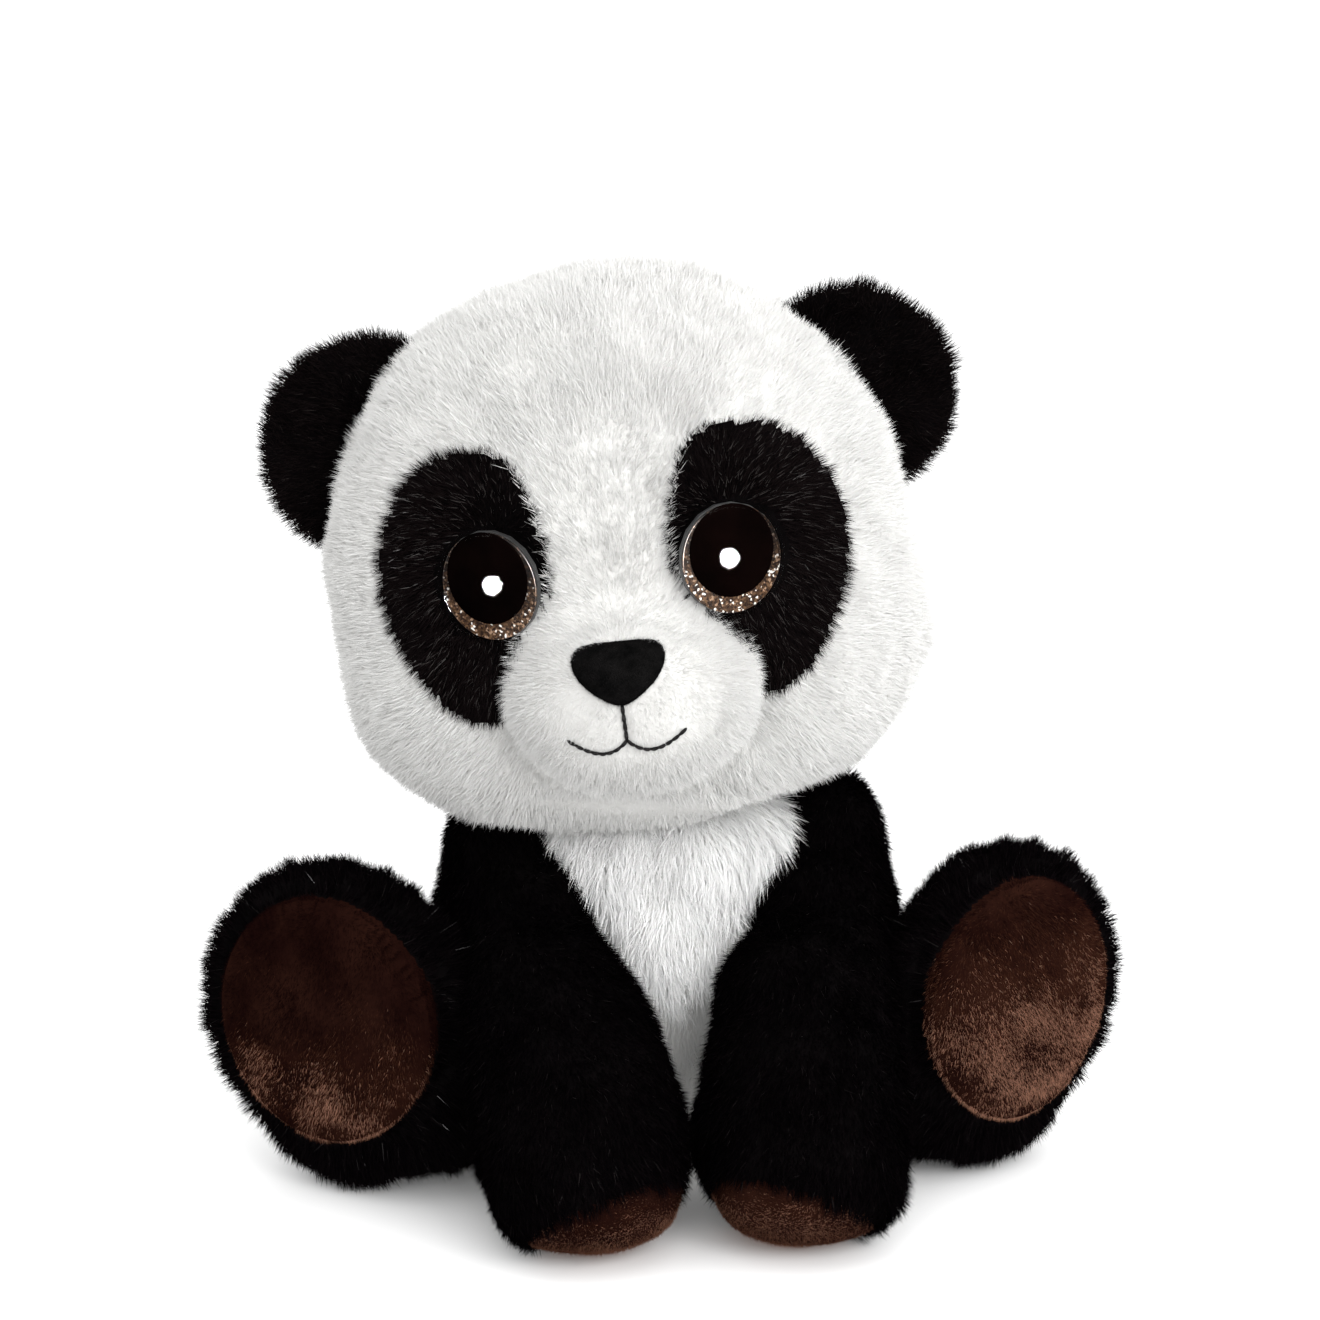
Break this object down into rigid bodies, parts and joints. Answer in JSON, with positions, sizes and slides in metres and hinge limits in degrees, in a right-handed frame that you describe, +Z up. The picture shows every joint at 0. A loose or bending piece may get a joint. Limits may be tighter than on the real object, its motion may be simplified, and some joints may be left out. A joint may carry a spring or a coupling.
{
  "type": "plush panda",
  "caption": "Seated stuffed panda toy with a large round head, cupped ears, glitter safety eyes, planted front paws and splayed legs with satin soles.",
  "frame": {"origin": "centre of the footprint's bounding box on the floor plane", "axes": "+Z up, the panda faces -Y, its own left side is +X"},
  "size_m": [0.2084, 0.1506, 0.219],
  "materials": {
    "white_plush": "dense short white pile",
    "white_pile_bib": "long combed white pile",
    "white_velour": "very short white pile",
    "black_plush": "black pile, longer and ragged at the feet",
    "brown_satin_plush": "short brown pile with a satin sheen",
    "black_velour": "matte black velour",
    "black_thread": "embroidery thread",
    "white_thread": "sewing thread",
    "clear_acrylic": "clear polished plastic",
    "bronze_glitter_film": "bronze glitter",
    "black_pupil_film": "glossy black",
    "black_eye_plastic": "moulded black plastic",
    "washer_plastic": "moulded plastic",
    "polyester_stuffing": "loose fibre filling",
    "pellet_bag_cloth": "woven bag of pellets"
  },
  "bodies": {
    "torso": {"torso_belly_panel": "white_plush", "torso_bib_panel": "white_pile_bib", "torso_back_panel": "white_plush", "torso_stuffing": "polyester_stuffing", "pellet_bag": "pellet_bag_cloth"},
    "neck_plug": {"neck_plug": "polyester_stuffing"},
    "neck_thread": {"neck_thread": "white_thread"},
    "head": {"head_face_panel": "white_plush", "head_back_panel": "white_plush", "eye_patch_left": "black_plush", "eye_patch_right": "black_plush", "muzzle_panel": "white_velour", "muzzle_stuffing": "polyester_stuffing", "nose_pad": "black_velour", "mouth_thread": "black_thread", "lip_line_thread": "black_thread", "head_stuffing": "polyester_stuffing", "eye_lens_left": "clear_acrylic", "eye_pupil_left": "black_pupil_film", "eye_glitter_left": "bronze_glitter_film", "eye_backing_left": "black_eye_plastic", "eye_washer_left": "washer_plastic", "eye_lens_right": "clear_acrylic", "eye_pupil_right": "black_pupil_film", "eye_glitter_right": "bronze_glitter_film", "eye_backing_right": "black_eye_plastic", "eye_washer_right": "washer_plastic"},
    "ear_left": {"ear_front_left": "black_plush", "ear_back_left": "black_plush"},
    "arm_left": {"arm_sleeve_left": "black_plush", "arm_pad_left": "brown_satin_plush", "arm_stuffing_left": "polyester_stuffing"},
    "leg_left": {"leg_skin_left": "black_plush", "leg_sole_left": "brown_satin_plush", "leg_stuffing_left": "polyester_stuffing"},
    "ear_right": {"ear_front_right": "black_plush", "ear_back_right": "black_plush"},
    "arm_right": {"arm_sleeve_right": "black_plush", "arm_pad_right": "brown_satin_plush", "arm_stuffing_right": "polyester_stuffing"},
    "leg_right": {"leg_skin_right": "black_plush", "leg_sole_right": "brown_satin_plush", "leg_stuffing_right": "polyester_stuffing"}
  },
  "joints": [
    {"name": "head_turn", "type": "hinge", "parent": "torso", "child": "neck_plug", "pos_m": [-0.003, 0.0163, 0.0925], "axis": [0, 0, 1], "range_deg": [-20, 26], "stiffness_Nm_per_rad": 0.15},
    {"name": "head_nod", "type": "hinge", "parent": "neck_plug", "child": "neck_thread", "pos_m": [-0.003, 0.0163, 0.0925], "axis": [0.9914, -0.1305, 0], "range_deg": [-6, 5], "stiffness_Nm_per_rad": 0.6},
    {"name": "head_tilt", "type": "hinge", "parent": "neck_thread", "child": "head", "pos_m": [-0.003, 0.0163, 0.0925], "axis": [0.1305, 0.9914, 0], "range_deg": [-3, 14], "stiffness_Nm_per_rad": 0.6},
    {"name": "ear_flex_left", "type": "hinge", "parent": "head", "child": "ear_left", "pos_m": [0.04383, 0.01316, 0.18691], "axis": [0.6022, -0.0793, -0.7944], "range_deg": [-20, 20], "stiffness_Nm_per_rad": 0.02},
    {"name": "ear_flex_right", "type": "hinge", "parent": "head", "child": "ear_right", "pos_m": [-0.07032, 0.02819, 0.17278], "axis": [0.3937, -0.0518, 0.9178], "range_deg": [-20, 20], "stiffness_Nm_per_rad": 0.02},
    {"name": "arm_raise_left", "type": "hinge", "parent": "torso", "child": "arm_left", "pos_m": [0.039, 0.0103, 0.062], "axis": [-1, 0, 0], "range_deg": [0, 28], "stiffness_Nm_per_rad": 0.06},
    {"name": "arm_raise_right", "type": "hinge", "parent": "torso", "child": "arm_right", "pos_m": [-0.039, 0.0103, 0.062], "axis": [-1, 0, 0], "range_deg": [0, 28], "stiffness_Nm_per_rad": 0.06},
    {"name": "leg_splay_left", "type": "hinge", "parent": "torso", "child": "leg_left", "pos_m": [0.049, 0.0323, 0.029], "axis": [0, 0, 1], "range_deg": [0, 30], "stiffness_Nm_per_rad": 0.08},
    {"name": "leg_splay_right", "type": "hinge", "parent": "torso", "child": "leg_right", "pos_m": [-0.049, 0.0323, 0.029], "axis": [0, 0, -1], "range_deg": [0, 30], "stiffness_Nm_per_rad": 0.08}
  ]
}
